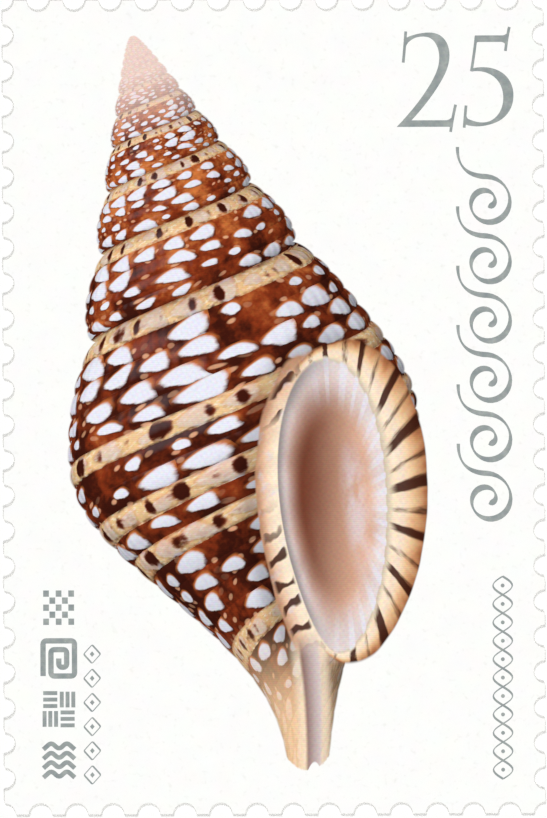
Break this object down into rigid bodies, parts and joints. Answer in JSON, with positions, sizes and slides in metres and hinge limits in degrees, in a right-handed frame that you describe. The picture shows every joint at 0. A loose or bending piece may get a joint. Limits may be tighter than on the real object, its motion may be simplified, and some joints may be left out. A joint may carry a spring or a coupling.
{
  "type": "postage stamp",
  "caption": "Upright self-adhesive postage stamp: a thin flat sheet of printed paper with a perforated edge, lying face up.",
  "frame": {"origin": "middle of the stamp's underside, on the surface it lies on", "axes": "+X to the picture's right, +Y to the picture's top edge, +Z out of the printed face"},
  "size_m": [0.023, 0.0348, 0.0001],
  "materials": {
    "stamp_paper": "smooth coated white paper, printed in warm browns, orange, tan and grey on the face, with a clear adhesive on the back"
  },
  "bodies": {
    "root": {"stamp": "stamp_paper"}
  },
  "joints": []
}
